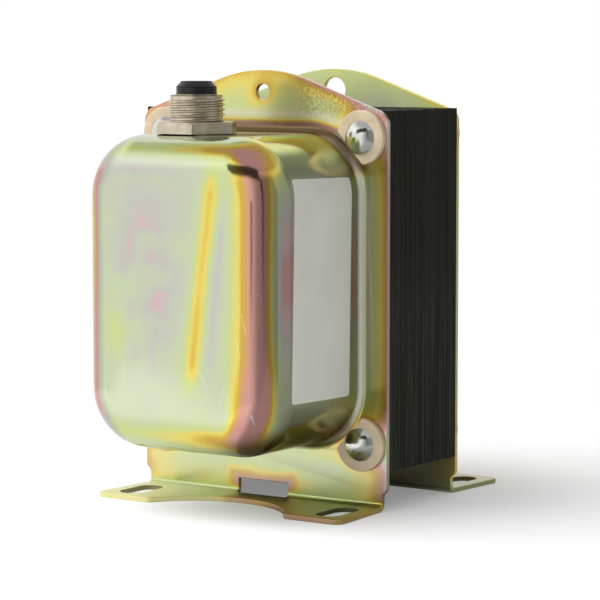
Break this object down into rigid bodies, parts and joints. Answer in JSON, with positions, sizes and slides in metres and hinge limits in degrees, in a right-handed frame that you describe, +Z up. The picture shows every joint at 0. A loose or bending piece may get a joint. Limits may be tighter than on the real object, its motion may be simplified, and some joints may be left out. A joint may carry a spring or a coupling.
{
  "type": "panel mount transformer",
  "caption": "Control transformer: laminated core riveted between drawn plated covers with slotted feet and mounting ears, and a push-to-reset breaker on top.",
  "frame": {"origin": "middle of the four foot slots, on the plane the feet stand on", "axes": "+X forward out of the deep cover, +Y towards the label side, +Z up"},
  "size_m": [0.0804, 0.0636, 0.093],
  "materials": {
    "plated_sheet": "yellow chromate on zinc plated steel, glossy",
    "varnished_core": "black varnished electrical steel, satin",
    "bobbin_plastic": "moulded nylon, satin",
    "magnet_wire": "enamelled copper wire",
    "insulating_paper": "varnished paper, matt",
    "zinc_rivet": "bright zinc, polished dome",
    "tan_nylon": "natural nylon, matt",
    "nickel": "nickel plated brass, satin",
    "black_button": "black moulding, smooth",
    "black_moulding": "black moulding, matt",
    "tinned_brass": "tinned brass",
    "label_film": "grey label film, matt"
  },
  "bodies": {
    "transformer": {"front_cover": "plated_sheet", "rear_cover": "plated_sheet", "e_laminations": "varnished_core", "i_laminations": "varnished_core", "bobbin": "bobbin_plastic", "primary_winding": "magnet_wire", "winding_barrier": "insulating_paper", "secondary_winding": "magnet_wire", "coil_wrap": "insulating_paper", "core_wedge": "insulating_paper", "core_rivets": "zinc_rivet", "insulating_washers": "tan_nylon", "breaker_neck": "nickel", "breaker_nut": "nickel", "breaker_case": "black_moulding", "breaker_terminals": "tinned_brass", "breaker_blade": "tinned_brass", "lead_bushing": "black_moulding", "label": "label_film"},
    "button": {"reset_button": "black_button"}
  },
  "joints": [
    {"name": "reset_slide", "type": "slide", "parent": "transformer", "child": "button", "axis": [0, 0, 1], "range_m": [-0.0008, 0.0035], "stiffness_N_per_m": 600}
  ]
}
